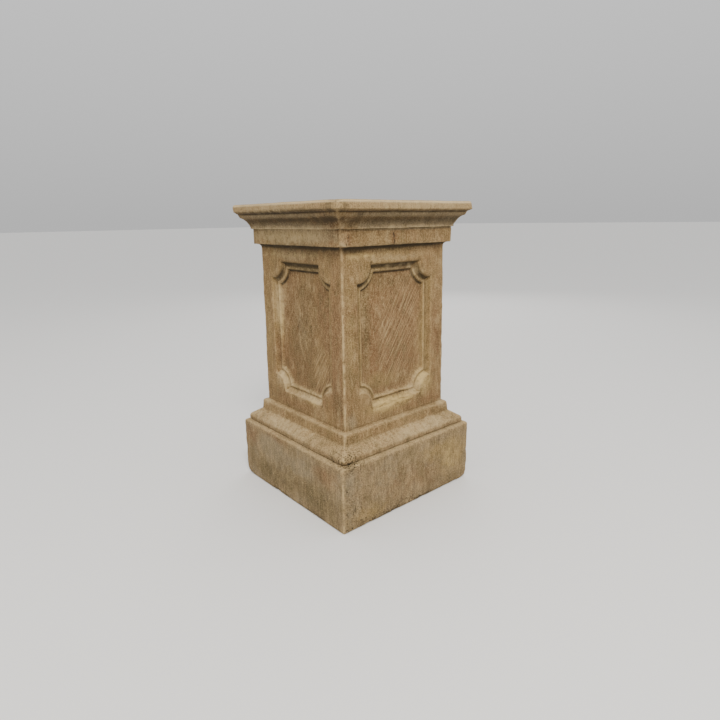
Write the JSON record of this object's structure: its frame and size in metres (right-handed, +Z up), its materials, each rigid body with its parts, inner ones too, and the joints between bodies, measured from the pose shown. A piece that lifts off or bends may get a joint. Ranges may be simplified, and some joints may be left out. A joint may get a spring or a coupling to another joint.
{
  "type": "square panelled garden pedestal",
  "caption": "Square cast stone pedestal with a moulded base, a sunk panel with bitten corners on each side of its die, and a moulded cap, to stand a column, urn or statue on.",
  "frame": {"origin": "centre of the underside", "axes": "+Z up the pedestal's axis, X and Y square to its sides"},
  "size_m": [0.454, 0.454, 0.762],
  "materials": {
    "cast_stone": "weathered, matt, fine sandy buff composition stone"
  },
  "bodies": {
    "root": {"pedestal": "cast_stone"}
  },
  "joints": []
}
